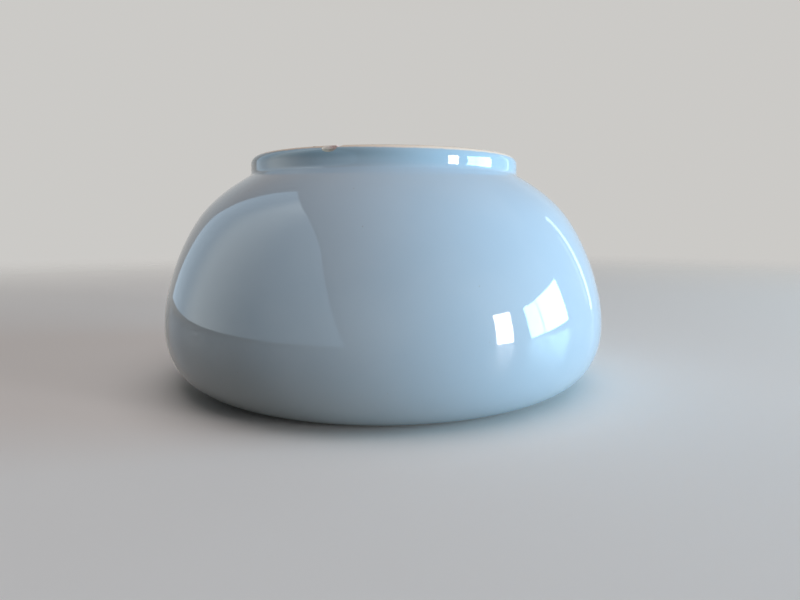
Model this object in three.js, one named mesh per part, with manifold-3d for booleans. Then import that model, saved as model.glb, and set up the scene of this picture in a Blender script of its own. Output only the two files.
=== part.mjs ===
// A squat, round-bellied glazed pot with a rolled rim and a small chip in its lip.
// It is one piece of fired clay. Millimetres, +Z up, origin at the centre of the resting ring.

import * as THREE from 'three';
import { mergeVertices } from 'three/addons/utils/BufferGeometryUtils.js';
import Module from 'manifold-3d';

const wasm = await Module();
wasm.setup();

// Overall sizes, on the outside
const potHeight = 96.5;
const bodyRadius = 95; // at the widest ring of the belly
const bellyHeight = 25.5; // height of that widest ring
const restEdgeRadius = 72.5; // outer edge of the flat ring that the pot stands on

// Wall, floor and foot
const wall = 5;
const floorThickness = 5.5; // over the recess
const footRingWidth = 6;
const footRecess = 2; // how far the middle of the underside is raised
const footChamfer = 1; // between the resting ring and the recess

// Rim: a band that stands on the end of the shoulder, with a crease under it
const rimRadius = 58;
const rimHeight = 7.8; // from the crease to the top of the lip
const creaseDepth = 0.2; // how far the crease lies inside the rim's face, and the band's lower round
const lipOuterRound = 3.5;
const lipInnerRound = 3;
const throatRound = 2.5; // where the ceiling of the shoulder turns up into the mouth

// Fullness of the bilge: shares of the way out, and of the way down, to the corner of its box
const bilgeOut = 0.45;
const bilgeDown = 0.72;

// Shape of the side, from belly to crease, as shares of the way in and of the way up
const sideUpright = 0.27; // the side pulls straight up to here
const shoulderIn = 0.43;
const shoulderUp = 0.727;
const shoulderLean = 0.77; // share up for each share in, as the outline passes the shoulder
const pullBelowShoulder = 0.187; // share in, along that lean
const pullAboveShoulder = 0.109;
const creaseLean = 0.335; // the same lean, as the outline reaches the crease
const pullBelowCrease = 0.298;

// Chip: a shallow flake off the lip's outer round, and a notch in the crest beside it
const flakeAzimuth = -110.3; // degrees round from +X
const flakePitch = 45; // degrees up from level: the flake is off the lip's outer corner
const flakeWidth = 6;
const flakeDrop = 4; // along the lip's section
const flakeDepth = 1;
const notchAzimuth = -106;
const notchPitch = 90; // straight up: the notch is in the crest
const notchWidth = 2.6;
const notchDepth = 0.8;

// Fineness of the facets
const ringFacets = 64;
const curveSteps = 6;
const roundSteps = 4;
const creaseSteps = 2;
const chipFacets = 12;

const radians = THREE.MathUtils.degToRad;
const point = (radius, height) => new THREE.Vector2(radius, height);

// The point at these shares of the way from one corner to another.
const between = (from, to, across, up) =>
  point(THREE.MathUtils.lerp(from.x, to.x, across), THREE.MathUtils.lerp(from.y, to.y, up));

// An outline from a level edge, out round the belly and in over the shoulder to the crease.
function bodyOutline(edge, belly, crease) {
  const onSide = (across, up) => between(belly, crease, across, up);
  const alongShoulder = (across) =>
    onSide(shoulderIn + across, shoulderUp + across * shoulderLean);
  const shoulder = alongShoulder(0);
  return [
    new THREE.CubicBezierCurve(
      edge,
      between(edge, belly, bilgeOut, 0),
      between(edge, belly, 1, 1 - bilgeDown),
      belly,
    ),
    new THREE.CubicBezierCurve(
      belly,
      onSide(0, sideUpright),
      alongShoulder(-pullBelowShoulder),
      shoulder,
    ),
    new THREE.CubicBezierCurve(
      shoulder,
      alongShoulder(pullAboveShoulder),
      onSide(1 - pullBelowCrease, 1 - pullBelowCrease * creaseLean),
      crease,
    ),
  ];
}

// A round of the given radius about a centre, from one angle to another in degrees.
const round = (centre, radius, from, to) =>
  new THREE.ArcCurve(centre.x, centre.y, radius, radians(from), radians(to), to < from);

// The inner neck: straight on along the ceiling, then a round up into the throat.
function throat(ceiling, heading, throatRadius) {
  const intoClay = point(heading.y, -heading.x).multiplyScalar(throatRound);
  const reach = (ceiling.x + intoClay.x - throatRadius - throatRound) / -heading.x;
  const centre = ceiling.clone().add(intoClay).addScaledVector(heading, reach);
  const start = THREE.MathUtils.radToDeg(Math.atan2(-intoClay.y, -intoClay.x));
  return round(centre, throatRound, start, -180);
}

// The wall's closed section, from the axis under the foot round to the axis on the floor inside.
function section() {
  const crease = point(rimRadius - creaseDepth, potHeight - rimHeight);
  const outside = bodyOutline(point(restEdgeRadius, 0), point(bodyRadius, bellyHeight), crease);

  const heading = outside.at(-1).getTangent(1);
  const ceiling = crease.clone().addScaledVector(point(-heading.y, heading.x), wall);
  const floor = footRecess + floorThickness;
  const inside = bodyOutline(
    point(restEdgeRadius, floor),
    point(bodyRadius - wall, bellyHeight),
    ceiling,
  );

  const ringInside = restEdgeRadius - footRingWidth;
  const band = point(rimRadius - creaseDepth, crease.y + creaseDepth);
  const crestRadius = rimRadius - lipOuterRound;
  const throatRadius = crestRadius - lipInnerRound;
  const lip = (cornerRound) => point(crestRadius, potHeight - cornerRound);

  const upOutside = [
    ...outside.map((curve) => curve.getPoints(curveSteps)),
    round(band, creaseDepth, -90, 0).getPoints(creaseSteps),
    round(lip(lipOuterRound), lipOuterRound, 0, 90).getPoints(roundSteps),
  ].flat();
  const upInside = [
    ...inside.map((curve) => curve.getPoints(curveSteps)),
    throat(ceiling, heading, throatRadius).getPoints(roundSteps),
    round(lip(lipInnerRound), lipInnerRound, 180, 90).getPoints(roundSteps),
  ].flat();
  return [
    point(0, footRecess),
    point(ringInside - footChamfer, footRecess),
    point(ringInside, 0),
    ...upOutside,
    ...upInside.reverse(),
    point(0, floor),
  ];
}

// The section turned about Z. Points that repeat are left out first.
function turned(points) {
  const apart = 1e-6;
  const clean = points.filter((p, i) => i === 0 || p.distanceTo(points[i - 1]) > apart);
  return new THREE.LatheGeometry(clean, ringFacets).rotateX(Math.PI / 2);
}

// A geometry as a manifold solid, without the flat triangles at a pole.
function solid(geometry) {
  const bare = geometry.clone();
  bare.deleteAttribute('normal');
  bare.deleteAttribute('uv');
  const merged = mergeVertices(bare);
  const corners = merged.index.array;
  const triVerts = [];
  for (let i = 0; i < corners.length; i += 3) {
    const [a, b, c] = corners.slice(i, i + 3);
    if (a !== b && b !== c && c !== a) triVerts.push(a, b, c);
  }
  return new wasm.Manifold(
    new wasm.Mesh({
      numProp: 3,
      vertProperties: new Float32Array(merged.attributes.position.array),
      triVerts: new Uint32Array(triVerts),
    }),
  );
}

function geometryOf(manifold) {
  const { vertProperties, triVerts } = manifold.getMesh();
  const geometry = new THREE.BufferGeometry();
  geometry.setAttribute('position', new THREE.BufferAttribute(vertProperties, 3));
  geometry.setIndex(new THREE.BufferAttribute(triVerts, 1));
  geometry.computeVertexNormals();
  return geometry;
}

// An egg-shaped cutter centred on the lip's outer round, where the section's normal has this pitch.
// Its sizes are along the rim, along the lip's section, and across it.
function scoop({ azimuth, pitch, width, drop, depth }) {
  const cutter = new THREE.SphereGeometry(1, chipFacets, chipFacets / 2);
  cutter.scale(depth, width / 2, drop / 2).rotateY(-radians(pitch));
  const reach = point(Math.cos(radians(pitch)), Math.sin(radians(pitch)));
  const seat = point(rimRadius - lipOuterRound, potHeight - lipOuterRound);
  seat.addScaledVector(reach, lipOuterRound);
  return cutter.translate(seat.x, 0, seat.y).rotateZ(radians(azimuth));
}

function potBody() {
  const flake = scoop({
    azimuth: flakeAzimuth,
    pitch: flakePitch,
    width: flakeWidth,
    drop: flakeDrop,
    depth: flakeDepth,
  });
  const lipThickness = lipOuterRound + lipInnerRound;
  const notch = scoop({
    azimuth: notchAzimuth,
    pitch: notchPitch,
    width: notchWidth,
    drop: 2 * lipThickness, // so that it runs out of both faces of the lip
    depth: notchDepth,
  });
  const cut = solid(turned(section())).subtract(solid(flake)).subtract(solid(notch));
  const glaze = new THREE.MeshStandardMaterial({ color: 0x9fb8cc, roughness: 0.08, metalness: 0 });
  const mesh = new THREE.Mesh(geometryOf(cut), glaze);
  mesh.name = 'pot_body';
  return mesh;
}

const pot = new THREE.Group();
pot.add(potBody());

export default pot;
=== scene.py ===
"""A squat, round-bellied pot with a pale blue glaze, a rolled rim and a small chip in its lip.

The pot is one piece of fired clay. It is shaped ring by ring along one outline, from the foot over the
lip and down to the floor inside, and the chip is broken out of the lip afterwards.
"""

import logging
import math
from dataclasses import dataclass
from enum import Enum

import bpy
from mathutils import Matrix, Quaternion, Vector


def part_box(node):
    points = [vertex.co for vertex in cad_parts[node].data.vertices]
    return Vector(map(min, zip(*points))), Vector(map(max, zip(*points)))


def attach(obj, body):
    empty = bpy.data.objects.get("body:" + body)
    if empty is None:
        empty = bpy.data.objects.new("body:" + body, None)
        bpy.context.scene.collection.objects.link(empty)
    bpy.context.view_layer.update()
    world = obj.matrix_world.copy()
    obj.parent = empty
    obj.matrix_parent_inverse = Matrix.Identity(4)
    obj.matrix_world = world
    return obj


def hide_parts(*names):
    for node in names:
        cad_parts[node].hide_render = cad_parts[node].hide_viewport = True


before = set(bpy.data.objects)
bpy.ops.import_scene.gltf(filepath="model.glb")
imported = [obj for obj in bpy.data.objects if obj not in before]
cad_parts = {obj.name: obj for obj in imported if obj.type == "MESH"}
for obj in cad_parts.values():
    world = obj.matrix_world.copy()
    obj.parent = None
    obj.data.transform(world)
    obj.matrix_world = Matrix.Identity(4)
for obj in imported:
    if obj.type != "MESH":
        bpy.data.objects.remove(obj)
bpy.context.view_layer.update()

LOG = logging.getLogger("glazed_pot")
MM = 0.001
POT_NODE = "pot_body"
BODY = "root"

Colour = tuple[float, float, float]
Cubic = tuple[Vector, Vector, Vector, Vector]

# Directions on the turned outline, in degrees up from the outward one
OUTWARD = 0
UP = 90
INWARD = 180
DOWN = 270

TO_RIGHT = Vector((1, 0, 0))
TO_BACK = Vector((0, 1, 0))


# ---------------------------------------------------------------- outlines


def point(radius: float, height: float) -> Vector:
    """A point of the turned outline: its distance from the axis and its height, in metres."""
    return Vector((radius, height))


def between(start: Vector, end: Vector, across: float, up: float) -> Vector:
    """The point at these shares of the way from one corner to another."""
    return point(start.x + (end.x - start.x) * across, start.y + (end.y - start.y) * up)


def cubic(curve: Cubic, steps: int) -> list[Vector]:
    """Points along a cubic curve.

    Args:
        curve: Its start, its two pulls and its end.
        steps: How many equal steps of the curve's own measure are taken.

    Returns:
        The points, without the start.
    """
    start, leaving, arriving, end = curve
    points = []
    for step in range(1, steps + 1):
        t = step / steps
        u = 1 - t
        points.append(u**3 * start + 3 * u * u * t * leaving + 3 * u * t * t * arriving + t**3 * end)
    return points


def arc(centre: Vector, radius: float, start: float, end: float, steps: int) -> list[Vector]:
    """Points round a centre, from one angle to another.

    Args:
        centre: The centre of the round.
        radius: Its radius in metres.
        start: The first angle, in degrees up from the outward direction.
        end: The last angle.
        steps: How many equal steps are taken.

    Returns:
        The points, with both ends.
    """
    points = []
    for step in range(steps + 1):
        angle = math.radians(start + (end - start) * step / steps)
        points.append(centre + radius * point(math.cos(angle), math.sin(angle)))
    return points


@dataclass(frozen=True)
class SideShape:
    """How full the bilge, side and shoulder are, as shares of the way between their corners.

    Attributes:
        bilge_out: How far out the bilge is pulled along the foot or the floor.
        bilge_down: How far down it is pulled from the belly.
        side_upright: How far up the side is pulled straight from the belly.
        shoulder_in: How far in the shoulder is, on the way from the belly to the crease.
        shoulder_up: How far up it is.
        shoulder_lean: How steeply the outline passes it, as share up for each share in.
        pull_below_shoulder: How far down that lean the side is pulled, as share in.
        pull_above_shoulder: How far up that lean the top is pulled.
        crease_lean: How steeply the outline reaches the crease.
        pull_below_crease: How far down that lean the top is pulled.
    """

    bilge_out: float = 0.45
    bilge_down: float = 0.72
    side_upright: float = 0.27
    shoulder_in: float = 0.43
    shoulder_up: float = 0.727
    shoulder_lean: float = 0.77
    pull_below_shoulder: float = 0.187
    pull_above_shoulder: float = 0.109
    crease_lean: float = 0.335
    pull_below_crease: float = 0.298

    def curves(self, edge: Vector, belly: Vector, crease: Vector) -> list[Cubic]:
        """The bilge, the side and the shoulder as cubic curves.

        Args:
            edge: Where the bilge leaves the level foot or floor.
            belly: The widest point.
            crease: Where the shoulder ends.

        Returns:
            Three curves, each as its start, two pulls and end.
        """

        def along_shoulder(across: float) -> Vector:
            """A point on the line that touches the outline at the shoulder."""
            up = self.shoulder_up + across * self.shoulder_lean
            return between(belly, crease, self.shoulder_in + across, up)

        shoulder = along_shoulder(0)
        bilge = (
            edge,
            between(edge, belly, self.bilge_out, 0),
            between(edge, belly, 1, 1 - self.bilge_down),
            belly,
        )
        side = (
            belly,
            between(belly, crease, 0, self.side_upright),
            along_shoulder(-self.pull_below_shoulder),
            shoulder,
        )
        up_to_crease = 1 - self.pull_below_crease * self.crease_lean
        top = (
            shoulder,
            along_shoulder(self.pull_above_shoulder),
            between(belly, crease, 1 - self.pull_below_crease, up_to_crease),
            crease,
        )
        return [bilge, side, top]


# ---------------------------------------------------------------- mesh helpers


def start_mesh() -> None:
    """Leaves edit mode and deselects everything, ready for a new primitive."""
    if bpy.context.mode != "OBJECT":
        bpy.ops.object.mode_set(mode="OBJECT")
    bpy.ops.object.select_all(action="DESELECT")


def pick(piece: bpy.types.Object) -> None:
    """Makes this object the only selected one, and the active one.

    Args:
        piece: The object.
    """
    start_mesh()
    piece.select_set(True)
    bpy.context.view_layer.objects.active = piece


def apply_modifier(piece: bpy.types.Object, kind: str, **settings: object) -> None:
    """Adds a modifier with these settings and applies it at once.

    Args:
        piece: The mesh object.
        kind: The modifier's type.
        settings: Its properties.
    """
    pick(piece)
    modifier = piece.modifiers.new(kind.title(), kind)
    for name, value in settings.items():
        setattr(modifier, name, value)
    bpy.ops.object.modifier_apply(modifier=modifier.name)


def turn_up(name: str, outline: list[Vector], around: int) -> bpy.types.Object:
    """Shapes a closed turned body from a disc, ring by ring along an outline.

    Args:
        name: The new object's name.
        outline: The rings' radii and heights. The ends are closed on the axis.
        around: The number of corners in each ring.

    Returns:
        The body, with its normals outwards.
    """
    start_mesh()
    first = outline[0]
    bpy.ops.mesh.primitive_circle_add(
        vertices=around, radius=first.x, fill_type="TRIFAN", location=(0, 0, first.y)
    )
    body = bpy.context.active_object
    body.name = name
    body.data.name = name
    bpy.ops.object.transform_apply(location=True, rotation=True, scale=True)
    bpy.ops.object.mode_set(mode="EDIT")
    bpy.ops.mesh.select_mode(type="EDGE")
    bpy.ops.mesh.select_all(action="DESELECT")
    bpy.ops.mesh.select_non_manifold()
    for last, ring in zip(outline, outline[1:]):
        bpy.ops.mesh.extrude_edges_move(TRANSFORM_OT_translate={"value": (0, 0, ring.y - last.y)})
        grow = ring.x / last.x
        bpy.ops.transform.resize(value=(grow, grow, 1), center_override=(0, 0, 0))
    bpy.ops.mesh.extrude_edges_move(TRANSFORM_OT_translate={"value": (0, 0, 0)})
    bpy.ops.mesh.merge(type="CENTER")
    bpy.ops.mesh.select_mode(type="VERT")
    bpy.ops.mesh.select_all(action="SELECT")
    bpy.ops.mesh.normals_make_consistent(inside=False)
    bpy.ops.object.mode_set(mode="OBJECT")
    return body


# ---------------------------------------------------------------- shader helpers


class Wire:
    """One output socket of a node graph. Arithmetic on it adds Math nodes."""

    def __init__(self, graph: "Graph", socket: bpy.types.NodeSocket) -> None:
        """Wraps a socket of this graph."""
        self.graph = graph
        self.socket = socket

    def __add__(self, other: "Wire | float") -> "Wire":
        """Sum."""
        return self.graph.math("ADD", self, other)

    def __radd__(self, other: float) -> "Wire":
        """Sum with a number on the left."""
        return self.graph.math("ADD", other, self)

    def __sub__(self, other: "Wire | float") -> "Wire":
        """Difference."""
        return self.graph.math("SUBTRACT", self, other)

    def __rsub__(self, other: float) -> "Wire":
        """Difference from a number on the left."""
        return self.graph.math("SUBTRACT", other, self)

    def __mul__(self, other: "Wire | float") -> "Wire":
        """Product."""
        return self.graph.math("MULTIPLY", self, other)

    def __rmul__(self, other: float) -> "Wire":
        """Product with a number on the left."""
        return self.graph.math("MULTIPLY", other, self)


class Blend(Enum):
    """How a Mix node joins two colours."""

    COVER = "MIX"
    TINT = "MULTIPLY"


class Graph:
    """The nodes of one material or of the world, added through one method."""

    def __init__(self, tree: bpy.types.NodeTree) -> None:
        """Empties the tree."""
        self.tree = tree
        tree.nodes.clear()

    def add(
        self,
        kind: str,
        settings: dict[str, object] | None = None,
        sockets: dict[str | int, object] | None = None,
        output: str | int = 0,
    ) -> Wire | None:
        """Adds a node.

        Args:
            kind: The node's type.
            settings: Its properties, set first. "stops" holds a ramp's places and colours.
            sockets: The value or the wire of each input that isn't left as it is.
            output: Which output is handed back.

        Returns:
            That output, or None from a node that has no outputs.
        """
        node = self.tree.nodes.new(kind)
        for name, value in (settings or {}).items():
            if name == "stops":
                self._set_stops(node.color_ramp, value)
            else:
                setattr(node, name, value)
        for key, value in (sockets or {}).items():
            if isinstance(value, Wire):
                self.tree.links.new(value.socket, node.inputs[key])
            else:
                node.inputs[key].default_value = value
        outputs = node.outputs
        return Wire(self, outputs[output]) if len(outputs) else None

    @staticmethod
    def _set_stops(ramp: bpy.types.ColorRamp, stops: list[tuple[float, Colour]]) -> None:
        """Gives a ramp these stops.

        Args:
            ramp: The ramp.
            stops: Their places, from 0 to 1, and their colours.
        """
        while len(ramp.elements) < len(stops):
            ramp.elements.new(1)
        for element, (place, colour) in zip(ramp.elements, stops):
            element.position = place
            element.color = (*colour, 1)

    def math(self, operation: str, *values: Wire | float) -> Wire:
        """One Math node on these values."""
        return self.add("ShaderNodeMath", {"operation": operation}, dict(enumerate(values)))

    def rise(self, value: Wire, start: float, end: float) -> Wire:
        """A soft step.

        Args:
            value: What it follows.
            start: It is 0 up to here.
            end: It is 1 from here on.

        Returns:
            The step.
        """
        return self.add(
            "ShaderNodeMapRange",
            {"interpolation_type": "SMOOTHSTEP"},
            {"Value": value, "From Min": start, "From Max": end},
        )

    def mix(
        self,
        share: Wire | float,
        first: Wire | Colour,
        second: Wire | Colour,
        blend: Blend = Blend.COVER,
    ) -> Wire:
        """A blend of two colours.

        Args:
            share: How much the second colour counts, from 0 to 1.
            first: The colour at 0.
            second: The colour that covers or tints the first.
            blend: Whether it covers or tints.

        Returns:
            The blended colour.
        """
        factor, colour_a, colour_b, result = 0, 6, 7, 2
        wanted = {factor: share}
        for key, colour in ((colour_a, first), (colour_b, second)):
            wanted[key] = colour if isinstance(colour, Wire) else (*colour, 1)
        settings = {"data_type": "RGBA", "blend_type": blend.value}
        return self.add("ShaderNodeMix", settings, wanted, result)

    def noise(self, place: Wire, size: float, detail: float) -> Wire:
        """Soft noise from 0 to 1.

        Args:
            place: The coordinates, in metres.
            size: How far its lumps are apart, in metres.
            detail: How many finer layers are added.

        Returns:
            The noise value.
        """
        sockets = {"Vector": place, "Scale": 1 / size, "Detail": detail}
        return self.add("ShaderNodeTexNoise", sockets=sockets)

    def object_place(self) -> Wire:
        """The point on the surface, in metres in the piece's own frame."""
        return self.add("ShaderNodeTexCoord", output="Object")

    def height(self, place: Wire) -> Wire:
        """How high this point is."""
        return self.add("ShaderNodeSeparateXYZ", sockets={"Vector": place}, output="Z")

    def from_axis(self, place: Wire) -> Wire:
        """How far this point is from the upright axis."""
        level = self.add("ShaderNodeVectorMath", {"operation": "MULTIPLY"}, {0: place, 1: (1, 1, 0)})
        return self.add("ShaderNodeVectorMath", {"operation": "LENGTH"}, {0: level}, "Value")

    def along(self, place: Wire, direction: Vector) -> Wire:
        """How far this point is along a direction, from the origin."""
        operation = {"operation": "DOT_PRODUCT"}
        return self.add("ShaderNodeVectorMath", operation, {0: place, 1: direction}, "Value")

    def bump(self, height: Wire) -> Wire:
        """The surface's direction, with these heights in metres laid over it."""
        return self.add("ShaderNodeBump", sockets={"Height": height, "Distance": 1.0, "Strength": 1.0})

    def mirrored(self) -> Wire:
        """1 where a reflection looks."""
        return self.add("ShaderNodeLightPath", output="Is Glossy Ray")

    def seen(self) -> Wire:
        """Tells what is looked at from what only lights the pot.

        Returns:
            1 where the camera, a reflection or a refraction looks, and 0 for light that bounces.
        """
        camera = self.add("ShaderNodeLightPath", output="Is Camera Ray")
        through = self.add("ShaderNodeLightPath", output="Is Transmission Ray")
        return self.math("MINIMUM", camera + self.mirrored() + through, 1.0)


def new_material(name: str) -> tuple[bpy.types.Material, Graph]:
    """Starts a material.

    Args:
        name: Its name.

    Returns:
        The material and its empty graph.
    """
    material = bpy.data.materials.new(name)
    material.use_nodes = True
    return material, Graph(material.node_tree)


def finish_material(graph: Graph, shader: Wire) -> None:
    """Joins a shader to the material's surface."""
    graph.add("ShaderNodeOutputMaterial", sockets={"Surface": shader})


# ---------------------------------------------------------------- the pot


@dataclass(frozen=True)
class Flake:
    """A rough egg-shaped scoop that is broken out of the lip.

    Attributes:
        azimuth: Where it is round the rim, in degrees from +X.
        pitch: Where it is on the lip's section, in degrees up from level.
        width: Its size along the rim, in metres.
        drop: Its size along the lip's section.
        depth: How deep it goes.
        roughness: How far the break strays from the smooth scoop.
        grain: How far the lumps of the break are apart.
        splits: How often the facets of the scoop are split.
        layers: How many finer layers the lumps have.
    """

    azimuth: float
    pitch: float
    width: float
    drop: float
    depth: float
    roughness: float
    grain: float
    splits: int = 5
    layers: int = 3

    @property
    def along_rim(self) -> Vector:
        """The direction of the rim at the flake, anticlockwise as seen from above."""
        azimuth = math.radians(self.azimuth)
        return Vector((-math.sin(azimuth), math.cos(azimuth), 0))

    def cutter(self, round_centre: Vector, lip_round: float) -> bpy.types.Object:
        """Models what the flake leaves empty.

        Args:
            round_centre: Radius and height of the centre of the lip's outer round.
            lip_round: Radius of that round.

        Returns:
            A closed lumpy egg, centred on the lip's surface.
        """
        azimuth = math.radians(self.azimuth)
        pitch = math.radians(self.pitch)
        seat = round_centre + lip_round * point(math.cos(pitch), math.sin(pitch))
        start_mesh()
        bpy.ops.mesh.primitive_ico_sphere_add(
            subdivisions=self.splits,
            radius=1,
            location=(seat.x * math.cos(azimuth), seat.x * math.sin(azimuth), seat.y),
            rotation=(0, -pitch, azimuth),
            scale=(self.depth, self.width / 2, self.drop / 2),
        )
        egg = bpy.context.active_object
        egg.name = "flake"
        bpy.ops.object.transform_apply(location=True, rotation=True, scale=True)
        lumps = bpy.data.textures.new("flake_lumps", "CLOUDS")
        lumps.noise_scale = self.grain
        lumps.noise_depth = self.layers
        apply_modifier(egg, "DISPLACE", texture=lumps, strength=self.roughness, mid_level=0.5)
        return egg


@dataclass(frozen=True)
class LipDamage:
    """The places where the lip has been knocked: a flake, a notch beside it and a small nick."""

    flake: Flake = Flake(
        azimuth=-110.3,
        pitch=42,
        width=6 * MM,
        drop=3.9 * MM,
        depth=0.75 * MM,
        roughness=0.35 * MM,
        grain=1.1 * MM,
    )
    notch: Flake = Flake(
        azimuth=-106.7,
        pitch=90,
        width=2.5 * MM,
        drop=13 * MM,
        depth=0.8 * MM,
        roughness=0.35 * MM,
        grain=0.8 * MM,
    )
    nick: Flake = Flake(
        azimuth=-117.3,
        pitch=72,
        width=1.1 * MM,
        drop=1.1 * MM,
        depth=0.4 * MM,
        roughness=0.12 * MM,
        grain=0.5 * MM,
    )

    def break_out(self, body: bpy.types.Object, pot: "GlazedPot", clay: bpy.types.Material) -> None:
        """Cuts every flake out of the body.

        Args:
            body: The finished body of the pot.
            pot: Its sizes.
            clay: The finish of the broken faces.
        """
        round_centre = point(pot.crest_radius, pot.height - pot.lip_outer_round)
        for flake in (self.flake, self.notch, self.nick):
            egg = flake.cutter(round_centre, pot.lip_outer_round)
            egg.data.materials.append(clay)
            apply_modifier(
                body,
                "BOOLEAN",
                operation="DIFFERENCE",
                solver="EXACT",
                material_mode="TRANSFER",
                object=egg,
            )
            bpy.data.objects.remove(egg)
        self.sharpen_edge(body)

    @staticmethod
    def sharpen_edge(body: bpy.types.Object) -> None:
        """Shades the body smooth, with a hard edge round each broken face.

        Args:
            body: The body, whose second material is the broken clay.
        """
        broken_slot = 1
        pick(body)
        bpy.ops.object.shade_smooth()
        bpy.ops.object.mode_set(mode="EDIT")
        bpy.ops.mesh.select_mode(type="FACE")
        bpy.ops.mesh.select_all(action="DESELECT")
        body.active_material_index = broken_slot
        bpy.ops.object.material_slot_select()
        bpy.ops.mesh.region_to_loop()
        bpy.ops.mesh.mark_sharp()
        bpy.ops.object.mode_set(mode="OBJECT")


@dataclass(frozen=True)
class Fineness:
    """How finely the pot is modelled, before it is subdivided once.

    Attributes:
        ring_corners: Corners in each ring.
        outside: Steps along the bilge, the side and the top of the shoulder, outside.
        inside: The same inside.
        level: Steps from the edge of the floor, or of the recess, to the axis.
        foot_edge: Steps round each inner edge of the foot.
        cove: Steps along the cove under the rim.
        outer_lip: Steps round the lip's outer edge.
        inner_lip: Steps round its inner edge.
        throat: Steps round the throat.
    """

    ring_corners: int = 192
    outside: tuple[int, int, int] = (10, 10, 10)
    inside: tuple[int, int, int] = (9, 8, 8)
    level: int = 3
    foot_edge: int = 4
    cove: int = 5
    outer_lip: int = 7
    inner_lip: int = 6
    throat: int = 6


@dataclass
class GlazedPot:
    """The whole pot. Its height and its radius come from the CAD box, and the rest is in metres.

    Attributes:
        low: The lowest corner of the CAD box.
        high: Its highest corner.
        shape: How full the side is.
        belly_height: Height of the widest ring.
        rest_edge_radius: Radius of the resting ring's outer edge.
        wall: Thickness of the wall.
        floor_thickness: Thickness of the floor, over the recess.
        foot_ring_width: Width of the resting ring.
        foot_recess: How far the middle of the underside is raised.
        foot_round: Radius of the resting ring's inner edge.
        rim_radius: Radius of the rim's face.
        rim_height: Height of the rim, from the crease to the top of the lip.
        crease_depth: How far the crease lies inside the rim's face.
        cove_run: How far the cove under the rim reaches, along the shoulder and up the face.
        cove_pull: How far it is pulled into that corner, as a share of its run.
        lip_outer_round: Radius of the lip's outer edge.
        lip_inner_round: Radius of its inner edge.
        throat_round: Radius where the ceiling of the shoulder turns up into the mouth.
        fineness: How finely it is modelled.
        damage: Where the lip is broken.
    """

    low: Vector
    high: Vector
    shape: SideShape = SideShape()
    belly_height: float = 25.5 * MM
    rest_edge_radius: float = 72.5 * MM
    wall: float = 5 * MM
    floor_thickness: float = 5.5 * MM
    foot_ring_width: float = 6 * MM
    foot_recess: float = 2 * MM
    foot_round: float = 0.5 * MM
    rim_radius: float = 58 * MM
    rim_height: float = 7.8 * MM
    crease_depth: float = 0.2 * MM
    cove_run: float = 1.3 * MM
    cove_pull: float = 0.6
    lip_outer_round: float = 3.5 * MM
    lip_inner_round: float = 3 * MM
    throat_round: float = 2.5 * MM
    fineness: Fineness = Fineness()
    damage: LipDamage = LipDamage()

    @property
    def height(self) -> float:
        """Height of the lip over the resting ring."""
        return self.high.z - self.low.z

    @property
    def radius(self) -> float:
        """Radius at the widest ring."""
        return (self.high.x - self.low.x) / 2

    @property
    def floor_height(self) -> float:
        """Height of the floor inside."""
        return self.foot_recess + self.floor_thickness

    @property
    def ring_inside(self) -> float:
        """Radius of the resting ring's inner edge."""
        return self.rest_edge_radius - self.foot_ring_width

    @property
    def crease(self) -> Vector:
        """Where the shoulder meets the rim's band."""
        return point(self.rim_radius - self.crease_depth, self.height - self.rim_height)

    @property
    def crest_radius(self) -> float:
        """Radius of the top of the lip."""
        return self.rim_radius - self.lip_outer_round

    def build(self) -> bpy.types.Object:
        """Models the pot with its broken lip, and dresses it.

        Returns:
            The finished mesh object.
        """
        body = turn_up("pot_body_glazed", self.outline(), self.fineness.ring_corners)
        apply_modifier(body, "SUBSURF", levels=1, render_levels=1)
        body.data.materials.append(BlueGlaze().material(self))
        self.damage.break_out(body, self, BrokenClay().material(self))
        return body

    def outline(self) -> list[Vector]:
        """Works out the whole section.

        Returns:
            Its points, from under the foot over the lip to the floor inside, without the axis.
        """
        outside = self.shape.curves(
            point(self.rest_edge_radius, 0), point(self.radius, self.belly_height), self.crease
        )
        _, _, arriving, end = outside[-1]
        heading = (end - arriving).normalized()
        ceiling = self.crease + self.wall * point(-heading.y, heading.x)
        inside = self.shape.curves(
            point(self.rest_edge_radius, self.floor_height),
            point(self.radius - self.wall, self.belly_height),
            ceiling,
        )
        up_outside = self.side_points(outside, self.fineness.outside)
        up_inside = [
            point(self.rest_edge_radius, self.floor_height),
            *self.side_points(inside, self.fineness.inside),
            *self.throat(ceiling, heading),
        ]
        return [
            *self.underside(),
            *[p for p in up_outside if p.x > self.crease.x + self.cove_run],
            *self.band(heading),
            *reversed(up_inside),
            *self.level_rings(self.floor_height, self.rest_edge_radius, self.fineness.level),
        ]

    @staticmethod
    def side_points(curves: list[Cubic], steps: tuple[int, int, int]) -> list[Vector]:
        """The points of the three curves of a side, without the first."""
        return [p for curve, count in zip(curves, steps) for p in cubic(curve, count)]

    @staticmethod
    def level_rings(height: float, radius: float, count: int) -> list[Vector]:
        """Rings on a level disc, evenly spaced inwards from a radius that isn't one of them."""
        return [point(radius * (count - ring) / count, height) for ring in range(1, count)]

    def underside(self) -> list[Vector]:
        """Works out the recess and the resting ring.

        Returns:
            The points, from near the axis outwards.
        """
        fillet = self.foot_recess - self.foot_round
        upright = self.ring_inside - self.foot_round
        recess_edge = upright - fillet
        steps = self.fineness.foot_edge
        return [
            *reversed(self.level_rings(self.foot_recess, recess_edge, self.fineness.level)),
            *arc(point(recess_edge, self.foot_round), fillet, UP, OUTWARD, steps),
            *arc(point(self.ring_inside, self.foot_round), self.foot_round, INWARD, DOWN, steps)[1:],
            point(self.rest_edge_radius - self.foot_ring_width / 2, 0),
            point(self.rest_edge_radius, 0),
        ]

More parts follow.
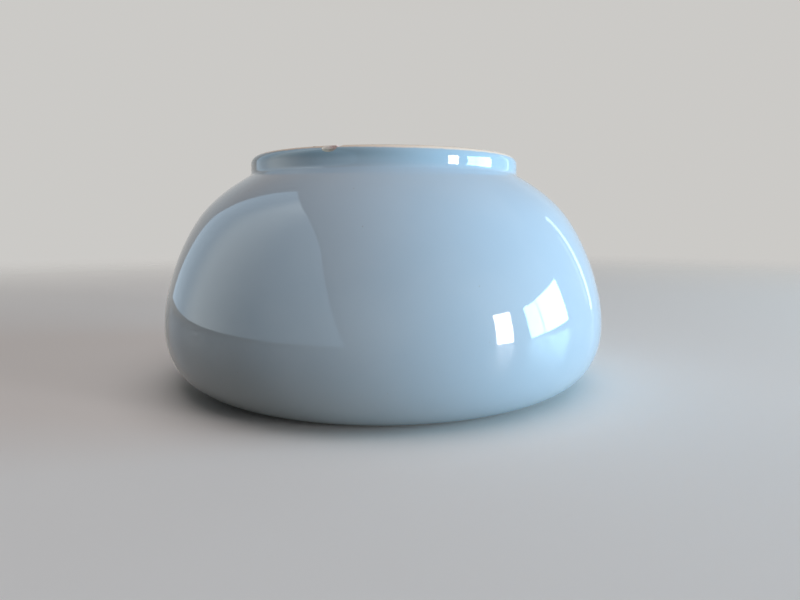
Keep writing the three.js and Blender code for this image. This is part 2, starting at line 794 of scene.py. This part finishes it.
    def band(self, heading: Vector) -> list[Vector]:
        """The rim's band, from the cove under it up its face and over the lip to the throat.

        Args:
            heading: The direction in which the shoulder reaches the crease.

        Returns:
            The points, with both ends.
        """
        pull = self.cove_pull * self.cove_run
        cove_start = self.crease - self.cove_run * heading
        cove_end = point(self.rim_radius, self.crease.y + self.cove_run)
        cove = (cove_start, cove_start + pull * heading, cove_end - point(0, pull), cove_end)
        outer = point(self.crest_radius, self.height - self.lip_outer_round)
        inner = point(self.crest_radius, self.height - self.lip_inner_round)
        face_middle = point(self.rim_radius, (cove_end.y + outer.y) / 2)
        return [
            cove_start,
            *cubic(cove, self.fineness.cove),
            face_middle,
            *arc(outer, self.lip_outer_round, OUTWARD, UP, self.fineness.outer_lip),
            *arc(inner, self.lip_inner_round, UP, INWARD, self.fineness.inner_lip)[1:],
        ]

    def throat(self, ceiling: Vector, heading: Vector) -> list[Vector]:
        """The round from the ceiling of the shoulder up into the mouth.

        Args:
            ceiling: Where the ceiling lies under the crease.
            heading: The direction in which the shoulder reaches the crease.

        Returns:
            The points, with both ends.
        """
        throat_radius = self.crest_radius - self.lip_inner_round
        into_clay = self.throat_round * point(heading.y, -heading.x)
        reach = (ceiling.x + into_clay.x - throat_radius - self.throat_round) / -heading.x
        centre = ceiling + into_clay + reach * heading
        start = math.degrees(math.atan2(-into_clay.y, -into_clay.x))
        return arc(centre, self.throat_round, start, -INWARD, self.fineness.throat)


# ---------------------------------------------------------------- finishes


@dataclass(frozen=True)
class Spot:
    """What a finish asks about a point on the pot.

    Attributes:
        graph: The graph of the finish.
        pot: The pot's sizes and its damage.
        place: Where the point is, in metres.
        height: How high it is.
        radius: How far it is from the axis.
        drift: A small unevenness, from -0.5 to 0.5, that makes edges wander.
    """

    graph: Graph
    pot: GlazedPot
    place: Wire
    height: Wire
    radius: Wire
    drift: Wire

    @classmethod
    def on(cls, pot: GlazedPot, graph: Graph, lumps: float, layers: float) -> "Spot":
        """Adds the nodes that find the point.

        Args:
            pot: The pot.
            graph: The graph of the finish.
            lumps: How far the lumps of its drift are apart, in metres.
            layers: How many finer layers the drift has.

        Returns:
            The point.
        """
        place = graph.object_place()
        height = graph.height(place)
        radius = graph.from_axis(place)
        drift = graph.noise(place, lumps, layers) - 0.5
        return cls(graph, pot, place, height, radius, drift)

    def side(self) -> Wire:
        """How far the point is towards +X, from the middle of the pot."""
        return self.graph.along(self.place, TO_RIGHT)


@dataclass(frozen=True)
class BlueGlaze:
    """A glossy pale blue glaze over cream clay, which shows where the glaze is thin or wiped off.

    Attributes:
        colour: The glaze on the body.
        cloud: What its faint clouds are tinted with.
        rim: What the glaze on the rim is tinted with.
        painted_rim_reflection: What the glaze is tinted with on the upper half of the rim's band away
            from +X: a painted dark reflection.
        painted_rim_highlight: A paler colour painted low on the rim's band towards -X: a painted
            highlight.
        painted_rim_highlight_share: How much that painted highlight covers.
        pooled: What the deeper glaze in hollows is tinted with.
        thin: The clay through the thin glaze on the crest of the lip.
        bare: The bare clay that the pot stands on.
        bare_shade: How dark the dark grains of the bare clay are, as a share of it.
        speck: A fleck in the glaze.
        speck_share: How much a fleck covers.
        gloss: Roughness of the glaze.
        cloud_gloss: How much rougher its clouds are, as a share of that.
        thin_gloss: Roughness of the crest.
        bare_roughness: Roughness of the bare clay.
        cloud_size: How far the clouds are apart, in metres.
        cloud_edge: Where they start and where they are full, as values of their noise.
        drift_size: How far the lumps are apart that make the edges of the glaze wander.
        stray: How far the edges of the drained and the milky glaze wander.
        wave_size: How far the soft waves of the surface are apart.
        wave_height: How high they are.
        peel_size: How far the fine dimples of the surface are apart.
        peel_height: How deep they are.
        grain_size: How far the grains of the bare clay are apart.
        grain_height: How high they are.
    """

    colour: Colour = (0.44, 0.575, 0.69)
    cloud: Colour = (0.94, 0.965, 0.98)
    rim: Colour = (0.87, 0.97, 1.0)
    painted_rim_reflection: Colour = (0.62, 0.72, 0.75)
    painted_rim_highlight: Colour = (0.59, 0.71, 0.77)
    painted_rim_highlight_share: float = 0.6
    pooled: Colour = (0.88, 0.95, 0.98)
    thin: Colour = (0.86, 0.75, 0.64)
    bare: Colour = (0.66, 0.56, 0.44)
    bare_shade: float = 0.8
    speck: Colour = (0.30, 0.33, 0.36)
    speck_share: float = 0.5
    gloss: float = 0.045
    cloud_gloss: float = 0.4
    thin_gloss: float = 0.22
    bare_roughness: float = 0.85
    cloud_size: float = 34 * MM
    cloud_edge: tuple[float, float] = (0.35, 0.68)
    drift_size: float = 2.4 * MM
    stray: float = 0.6 * MM
    wave_size: float = 15 * MM
    wave_height: float = 0.035 * MM
    peel_size: float = 1.4 * MM
    peel_height: float = 0.0008 * MM
    grain_size: float = 0.5 * MM
    grain_height: float = 0.06 * MM

    def material(self, pot: GlazedPot) -> bpy.types.Material:
        """Makes the material.

        Args:
            pot: The pot's sizes, which say where the glaze is thin, thick or missing.

        Returns:
            The material.
        """
        material, graph = new_material("blue_glaze")
        spot = Spot.on(pot, graph, self.drift_size, layers=3)
        clouds = self.cloud_mask(spot)
        bare = self.bare_mask(spot)
        thin = self.thin_mask(spot)

        colour = graph.mix(clouds, self.colour, self.cloud, Blend.TINT)
        colour = graph.mix(self.rim_mask(spot), colour, self.rim, Blend.TINT)
        # Painted reflection: the upper half of the rim's band, away from +X, is darkened like a dark
        # surrounding mirrored in it.
        colour = graph.mix(self.painted_rim_reflection_mask(spot), colour, self.painted_rim_reflection, Blend.TINT)
        # Painted highlight: the rim's band is paler low down towards -X, like light caught there.
        colour = graph.mix(self.painted_rim_highlight_share * self.painted_rim_highlight_mask(spot), colour, self.painted_rim_highlight)
        colour = graph.mix(self.pooled_mask(spot), colour, self.pooled, Blend.TINT)
        colour = graph.mix(self.speck_share * self.speck_mask(spot), colour, self.speck)
        colour = graph.mix(thin, colour, self.thin)
        grain = graph.noise(spot.place, self.grain_size, detail=3)
        sandy = graph.mix(grain, tuple(self.bare_shade * c for c in self.bare), self.bare)
        colour = graph.mix(bare, colour, sandy)

        wave = graph.noise(spot.place, self.wave_size, detail=1) * self.wave_height
        peel = graph.noise(spot.place, self.peel_size, detail=1) * self.peel_height
        relief = wave + peel + bare * grain * self.grain_height
        cloudy = clouds * (self.cloud_gloss * self.gloss)
        glossy = self.gloss + cloudy + thin * (self.thin_gloss - self.gloss)
        rough = glossy + bare * (self.bare_roughness - self.gloss)
        shader = graph.add(
            "ShaderNodeBsdfPrincipled",
            sockets={"Base Color": colour, "Roughness": rough, "Normal": graph.bump(relief)},
        )
        finish_material(graph, shader)
        return material

    def cloud_mask(self, spot: Spot) -> Wire:
        """1 in the faint clouds of the glaze."""
        clouds = spot.graph.noise(spot.place, self.cloud_size, detail=3)
        return spot.graph.rise(clouds, *self.cloud_edge)

    @staticmethod
    def rim_mask(spot: Spot) -> Wire:
        """1 on the rim's band and 0 on the body, with a soft change over the cove between them."""
        starts, full = spot.pot.crease.y - 1.5 * MM, spot.pot.crease.y + 2.5 * MM
        return spot.graph.rise(spot.height, starts, full)

    def painted_rim_reflection_mask(self, spot: Spot) -> Wire:
        """Finds where a dark reflection is painted: the upper half of the rim's band, away from +X.

        Args:
            spot: The point on the pot.

        Returns:
            1 there and 0 elsewhere, and about half on the lip's crest.
        """
        starts, full = spot.pot.crease.y + 2 * MM, spot.pot.height - 3.2 * MM
        crest_starts, crest_full = spot.pot.height - 2.2 * MM, spot.pot.height - 0.9 * MM
        crest_share = 0.55
        thickens, thick = -30 * MM, 22 * MM
        graph = spot.graph
        level = spot.height + spot.drift * self.stray
        upper = graph.rise(level, starts, full)
        below_crest = 1 - crest_share * graph.rise(level, crest_starts, crest_full)
        return upper * below_crest * (1 - graph.rise(spot.side(), thickens, thick))

    def painted_rim_highlight_mask(self, spot: Spot) -> Wire:
        """Finds where a paler colour is painted as a highlight: low on the rim's band, towards -X.

        Args:
            spot: The point on the pot.

        Returns:
            1 there and 0 elsewhere.
        """
        starts, full = spot.pot.crease.y - 0.5 * MM, spot.pot.crease.y + 1.5 * MM
        fades, gone = spot.pot.crease.y + 3.2 * MM, spot.pot.crease.y + 5.4 * MM
        side_fades, side_gone = -42 * MM, -20 * MM
        graph = spot.graph
        level = spot.height + spot.drift * self.stray
        above_cove = graph.rise(level, starts, full)
        lower = 1 - graph.rise(level, fades, gone)
        return above_cove * lower * (1 - graph.rise(spot.side(), side_fades, side_gone))

    @staticmethod
    def thin_mask(spot: Spot) -> Wire:
        """Finds the crest of the lip, with a wandering edge that dips lower towards +X.

        Args:
            spot: The point on the pot.

        Returns:
            1 there and 0 elsewhere.
        """
        starts, full = spot.pot.height - 1.1 * MM, spot.pot.height - 0.55 * MM
        dips, dipped = -30 * MM, 10 * MM
        dip_depth = 0.5 * MM
        stray = 0.5 * MM
        wander_size = 14 * MM
        graph = spot.graph
        wander = graph.noise(spot.place, wander_size, detail=1) - 0.5
        dip = graph.rise(spot.side(), dips, dipped)
        level = spot.height + spot.drift * stray + wander * stray + dip * dip_depth
        return graph.rise(level, starts, full)

    @staticmethod
    def bare_mask(spot: Spot) -> Wire:
        """Finds the wiped resting ring, with a wandering edge.

        Args:
            spot: The point on the pot.

        Returns:
            1 there and 0 elsewhere.
        """
        fades, gone = 0.12 * MM, 0.26 * MM
        stray = 0.2 * MM
        full = spot.pot.ring_inside - spot.pot.foot_round
        starts = full - 0.2 * MM
        low = 1 - spot.graph.rise(spot.height + spot.drift * stray, fades, gone)
        return low * spot.graph.rise(spot.radius, starts, full)

    @staticmethod
    def pooled_mask(spot: Spot) -> Wire:
        """Finds where the glaze ran together: on the floor inside, and round the foot's edge.

        Args:
            spot: The point on the pot.

        Returns:
            1 on the floor, less at the foot, and 0 elsewhere.
        """
        floor, radius = spot.pot.floor_height, spot.pot.radius
        starts, full = floor - 2 * MM, floor - 1 * MM
        side_gone = floor + 5 * MM
        wall_starts, wall_full = radius - 15 * MM, radius - 11 * MM
        foot_fades, foot_gone = 0.3 * MM, 1.3 * MM
        foot_share = 0.7
        graph = spot.graph
        on_floor = graph.rise(spot.height, starts, full)
        below_side = 1 - graph.rise(spot.height, floor, side_gone)
        inside = 1 - graph.rise(spot.radius, wall_starts, wall_full)
        round_foot = 1 - graph.rise(spot.height, foot_fades, foot_gone)
        return graph.math("MAXIMUM", on_floor * below_side * inside, foot_share * round_foot)

    @staticmethod
    def speck_mask(spot: Spot) -> Wire:
        """Finds small, scattered flecks.

        Args:
            spot: The point on the pot.

        Returns:
            1 there and 0 elsewhere.
        """
        apart = 10 * MM
        fades, gone = 0.018, 0.03  # from a fleck's middle, as shares of how far they are apart
        nearest = spot.graph.add(
            "ShaderNodeTexVoronoi",
            {"feature": "F1"},
            {"Vector": spot.place, "Scale": 1 / apart},
            "Distance",
        )
        return 1 - spot.graph.rise(nearest, fades, gone)


@dataclass(frozen=True)
class BrokenClay:
    """The matt broken body of the pot, with the glaze's cut edge round it.

    Attributes:
        left: The clay at the flake's left end.
        middle: The clay at its middle.
        right: The stained clay at its right end.
        dark_ends: The darker brown at both ends of the break, by the nick and the notch.
        grain: What the clay's grains are tinted with.
        grain_size: How far they are apart, in metres.
        grain_height: How high they are.
        drift_size: How far the lumps are apart that make the clay's edges wander.
        glaze_edge_and_shade: The glaze as it shows in the break, and the painted shade on the break's
            lower half.
        painted_shade_share: How much that painted shade darkens it.
        glaze_thickness: How deep the glaze goes.
        glaze_roughness: Roughness of the cut glaze.
        roughness: Roughness of the clay.
    """

    left: Colour = (0.82, 0.80, 0.72)
    middle: Colour = (0.97, 0.93, 0.90)
    right: Colour = (1.0, 0.76, 0.76)
    dark_ends: Colour = (0.32, 0.22, 0.16)
    grain: Colour = (0.90, 0.88, 0.86)
    grain_size: float = 0.35 * MM
    grain_height: float = 0.12 * MM
    drift_size: float = 1.2 * MM
    glaze_edge_and_shade: Colour = (0.27, 0.33, 0.29)
    painted_shade_share: float = 0.8
    glaze_thickness: float = 0.22 * MM
    glaze_roughness: float = 0.3
    roughness: float = 0.9

    def material(self, pot: GlazedPot) -> bpy.types.Material:
        """Makes the material.

        Args:
            pot: The pot's sizes and its damage.

        Returns:
            The material.
        """
        material, graph = new_material("broken_clay")
        spot = Spot.on(pot, graph, self.drift_size, layers=2)
        grain = graph.noise(spot.place, self.grain_size, detail=4)
        clay = graph.mix(grain, self.stained(spot), self.grain, Blend.TINT)
        painted_shade_low_half = self.painted_shade_low_half(spot)
        # Painted shade: the break's lower half is darkened towards the glaze's colour.
        clay = graph.mix(self.painted_shade_share * painted_shade_low_half, clay, self.glaze_edge_and_shade)
        uncovered = graph.math("MAXIMUM", self.below_glaze(spot), 1 - painted_shade_low_half)
        colour = graph.mix(uncovered, self.glaze_edge_and_shade, clay)
        rough = self.glaze_roughness + uncovered * (self.roughness - self.glaze_roughness)
        relief = grain * self.grain_height * uncovered
        shader = graph.add(
            "ShaderNodeBsdfPrincipled",
            sockets={"Base Color": colour, "Roughness": rough, "Normal": graph.bump(relief)},
        )
        finish_material(graph, shader)
        return material

    def stained(self, spot: Spot) -> Wire:
        """Works out the clay's colours along the rim, from the nick over the flake to the notch.

        Args:
            spot: The point on the pot.

        Returns:
            The colour.
        """
        flake = spot.pot.damage.flake
        reach = 1.25 * flake.width
        stray = 0.2 * flake.width
        across = spot.graph.along(spot.place, flake.along_rim) + spot.drift * stray
        share = spot.graph.rise(across, -reach, reach)
        # The ramp's two ends, at the nick and the notch, are a darker brown.
        stops = [
            (0.06, self.dark_ends),
            (0.17, self.left),
            (0.44, self.middle),
            (0.62, self.right),
            (0.80, self.right),
            (0.88, self.dark_ends),
        ]
        return spot.graph.add("ShaderNodeValToRGB", {"stops": stops}, {"Fac": share})

    @staticmethod
    def painted_shade_low_half(spot: Spot) -> Wire:
        """Finds the lower half of the break, which gets a painted shade.

        Args:
            spot: The point on the pot.

        Returns:
            1 there and 0 elsewhere.
        """
        fades, gone = spot.pot.height - 2.0 * MM, spot.pot.height - 0.6 * MM
        stray = 0.8 * MM
        return 1 - spot.graph.rise(spot.height + spot.drift * stray, fades, gone)

    def below_glaze(self, spot: Spot) -> Wire:
        """Finds the clay under the glaze's cut edge.

        Args:
            spot: The point on the pot.

        Returns:
            0 in the thickness of the glaze and 1 below it.
        """
        stray = 0.15 * MM
        starts, full = 0.5 * self.glaze_thickness, self.glaze_thickness
        return spot.graph.rise(self.depth(spot) + spot.drift * stray, starts, full)

    @staticmethod
    def depth(spot: Spot) -> Wire:
        """Measures how deep the point is under the lip's outer round.

        Args:
            spot: The point on the pot.

        Returns:
            The depth, in metres.
        """
        across = spot.radius - spot.pot.crest_radius
        up = spot.height - (spot.pot.height - spot.pot.lip_outer_round)
        from_centre = spot.graph.math("SQRT", across * across + up * up)
        return spot.pot.lip_outer_round - from_centre


# ---------------------------------------------------------------- the studio


@dataclass(frozen=True)
class Panel:
    """A rectangular soft light that faces the pot.

    Attributes:
        name: Its name.
        place: Its centre, in metres.
        size: Its width and height, in metres.
        radiance: Its brightness as it looks in a mirror, where 1 is white.
        colour: Its colour.
        lean: How far it is turned about its own middle, in degrees.
        mirrored: Whether the glaze shows its reflection.
    """

    name: str
    place: tuple[float, float, float]
    size: tuple[float, float]
    radiance: float
    colour: Colour
    lean: float = 0
    mirrored: bool = True

    def hang(self, target: Vector) -> None:
        """Makes the lamp.

        Args:
            target: The point that it faces.
        """
        width, height = self.size
        lamp = bpy.data.lights.new(self.name, "AREA")
        lamp.shape = "RECTANGLE"
        lamp.size = width
        lamp.size_y = height
        lamp.energy = self.radiance * math.pi * width * height
        lamp.color = self.colour
        panel = bpy.data.objects.new(self.name, lamp)
        bpy.context.scene.collection.objects.link(panel)
        panel.location = self.place
        away = (Vector(self.place) - target).to_track_quat("Z", "Y")
        lean = Quaternion((0, 0, 1), math.radians(self.lean))
        panel.rotation_euler = (away @ lean).to_euler()
        panel.visible_camera = False
        panel.visible_glossy = self.mirrored


@dataclass(frozen=True)
class Floor:
    """A wide level disc at the height of the resting ring, which fades into the backdrop.

    Attributes:
        radius: Its radius, in metres.
        fade: How far from the middle it starts to fade.
        corners: Corners round its edge.
        colour: Its colour where it is looked at.
        bounce_left: The colour of the light that its left half gives back to the pot.
        bounce_right: The same for its right half.
        bounce_turn: How far from the middle each of the two is full, in metres.
        roughness: Its roughness.
        polish: Its specular level as the glaze mirrors it. It is matt to the camera.
    """

    radius: float = 1.1
    fade: float = 0.25
    corners: int = 96
    colour: Colour = (0.80, 0.78, 0.75)
    bounce_left: Colour = (0.36, 0.28, 0.215)
    bounce_right: Colour = (0.56, 0.53, 0.45)
    bounce_turn: float = 0.1
    roughness: float = 0.34
    polish: float = 0.22

    def lay(self) -> None:
        """Models the floor and dresses it."""
        start_mesh()
        bpy.ops.mesh.primitive_circle_add(vertices=self.corners, radius=self.radius, fill_type="NGON")
        floor = bpy.context.active_object
        floor.name = "studio_floor"
        floor.data.materials.append(self.material())

    def material(self) -> bpy.types.Material:
        """Makes the floor's material.

        Returns:
            The material.
        """
        material, graph = new_material("studio_floor")
        place = graph.object_place()
        side = graph.rise(graph.along(place, TO_RIGHT), -self.bounce_turn, self.bounce_turn)
        bounce = graph.mix(side, self.bounce_left, self.bounce_right)
        colour = graph.mix(graph.seen(), bounce, self.colour)
        solid = 1 - graph.rise(graph.from_axis(place), self.fade, self.radius)
        matt, polished = (
            graph.add(
                "ShaderNodeBsdfPrincipled",
                sockets={
                    "Base Color": colour,
                    "Roughness": self.roughness,
                    "Specular IOR Level": polish,
                    "Alpha": solid,
                },
            )
            for polish in (0.0, self.polish)
        )
        shader = graph.add("ShaderNodeMixShader", sockets={0: graph.mirrored(), 1: matt, 2: polished})
        finish_material(graph, shader)
        return material


@dataclass(frozen=True)
class Backdrop:
    """A pale background, darker overhead, that gives only a weak fill light.

    Attributes:
        colour: Its colour at the height of the eye.
        ceiling: Its colour overhead.
        turns: How steeply up the ceiling starts, from 0, level, to 1, straight up.
        turned: How steeply up it is all ceiling.
        fill: The strength of its grey fill light.
    """

    colour: Colour = (0.60, 0.59, 0.57)
    ceiling: Colour = (0.50, 0.40, 0.32)
    turns: float = 0.3
    turned: float = 0.6
    fill: float = 0.12

    def put_up(self) -> None:
        """Makes the world."""
        world = bpy.data.worlds.new("studio")
        world.use_nodes = True
        bpy.context.scene.world = world
        graph = Graph(world.node_tree)
        up = graph.height(graph.add("ShaderNodeTexCoord", output="Generated"))
        shown = graph.mix(graph.rise(up, self.turns, self.turned), self.colour, self.ceiling)
        colour = graph.mix(graph.seen(), (self.fill,) * 3, shown)
        background = graph.add("ShaderNodeBackground", sockets={"Color": colour, "Strength": 1.0})
        graph.add("ShaderNodeOutputWorld", sockets={"Surface": background})


@dataclass(frozen=True)
class Card:
    """A tall pale card on the left, cut at a slant, which shows only in reflections.

    Attributes:
        left: Where it stands along X, in metres.
        corners: Where its corners are along Y, and their heights.
        colour: Its colour as it looks in a mirror, where 1 is white.
        glow: The same in a brighter band across it.
        glow_rises: Where along Y the band starts and where it is full.
        glow_fades: Where it starts to fade and where it ends.
        light: How brightly it lights the pot.
    """

    left: float = -1.0
    corners: tuple[tuple[float, float], ...] = ((-3.1, 0.02), (-1.1, 1.6), (0.85, 2.0), (0.95, 0.02))
    colour: Colour = (1.04, 1.29, 1.52)
    glow: Colour = (1.95, 2.20, 2.35)
    glow_rises: tuple[float, float] = (-0.55, 0.05)
    glow_fades: tuple[float, float] = (0.15, 0.5)
    light: float = 0.08

    def stand(self) -> None:
        """Models the card and dresses it."""
        mesh = bpy.data.meshes.new("left_card")
        corners = [(self.left, y, z) for y, z in self.corners]
        mesh.from_pydata(corners, [], [range(len(corners))])
        mesh.materials.append(self.material())
        card = bpy.data.objects.new("left_card", mesh)
        bpy.context.scene.collection.objects.link(card)
        card.visible_camera = False

    def material(self) -> bpy.types.Material:
        """Makes the card's material.

        Returns:
            The material.
        """
        material, graph = new_material("left_card")
        along = graph.along(graph.object_place(), TO_BACK)
        band = graph.rise(along, *self.glow_rises) * (1 - graph.rise(along, *self.glow_fades))
        shown = graph.mix(band, self.colour, self.glow)
        colour = graph.mix(graph.seen(), (self.light,) * 3, shown)
        shader = graph.add("ShaderNodeEmission", sockets={"Color": colour, "Strength": 1.0})
        finish_material(graph, shader)
        return material


@dataclass(frozen=True)
class Camera:
    """The camera, a little over the middle of the pot.

    Attributes:
        distance: How far it stands in front of the pot's axis, in metres.
        height: How high it is.
        pitch: How far it looks down, in degrees.
        yaw: How far it looks to the right, in degrees.
        lens: Its focal length, in millimetres.
        sensor: The width of its sensor, in millimetres.
        near: The nearest that it sees, in metres.
    """

    distance: float = 273.8 * MM
    height: float = 69.4 * MM
    pitch: float = 7.50
    yaw: float = 1.45
    lens: float = 27
    sensor: float = 36
    near: float = 10 * MM

    def set_up(self) -> None:
        """Makes the camera the scene's own."""
        camera = bpy.data.cameras.new("camera")
        camera.lens = self.lens
        camera.sensor_width = self.sensor
        camera.clip_start = self.near
        holder = bpy.data.objects.new("camera", camera)
        bpy.context.scene.collection.objects.link(holder)
        holder.location = (0, -self.distance, self.height)
        holder.rotation_euler = (math.radians(90 - self.pitch), 0, math.radians(-self.yaw))
        bpy.context.scene.camera = holder


# Colours of the lights
WINDOW_BLUE: Colour = (0.44, 0.77, 1.0)
SLIT_BLUE: Colour = (0.60, 0.82, 1.0)
WINDOW_WHITE: Colour = (0.99, 0.97, 1.0)
WARM_WHITE: Colour = (1.0, 0.97, 0.93)
ROSY_WHITE: Colour = (1.0, 0.93, 0.94)


@dataclass(frozen=True)
class Studio:
    """The floor, the backdrop, the lights, the card and the camera."""

    floor: Floor = Floor()
    backdrop: Backdrop = Backdrop()
    panels: tuple[Panel, ...] = (
        Panel("window_pane_left", (1.2, -0.3365, 0.156), (0.187, 0.33), 22.5, WINDOW_BLUE, lean=7),
        Panel("window_pane_right", (1.2, -0.0415, 0.192), (0.383, 0.33), 22.5, WINDOW_BLUE, lean=7),
        Panel("window_front", (1.0, -0.67, 0.135), (0.19, 0.33), 33, WINDOW_WHITE),
        Panel("slit", (1.2, 0.86, 0.36), (0.075, 0.78), 3, SLIT_BLUE),
        Panel("slit_inner", (1.2, 0.70, 0.30), (0.04, 0.5), 0.9, SLIT_BLUE),
        Panel("back_soft", (-0.5, 1.3, 0.25), (0.9, 0.5), 3.2, WARM_WHITE, mirrored=False),
        Panel("overhead", (0.2, -0.3, 1.6), (1.6, 1.6), 1.45, ROSY_WHITE, mirrored=False),
    )
    card: Card = Card()
    camera: Camera = Camera()

    def build(self, middle: Vector) -> None:
        """Sets up the whole studio.

        Args:
            middle: The middle of the pot, which the lights face.
        """
        self.floor.lay()
        self.backdrop.put_up()
        for panel in self.panels:
            panel.hang(middle)
        self.card.stand()
        self.camera.set_up()
        bpy.context.scene.view_settings.view_transform = "Standard"


def main() -> None:
    """Builds the pot and the studio around it."""
    logging.basicConfig(level=logging.INFO, format="%(message)s")
    low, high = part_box(POT_NODE)
    pot = GlazedPot(low, high).build()
    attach(pot, BODY)
    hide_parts(POT_NODE)
    LOG.info("%s: %d faces", pot.name, len(pot.data.polygons))
    Studio().build((low + high) / 2)


if __name__ == "__main__":
    main()
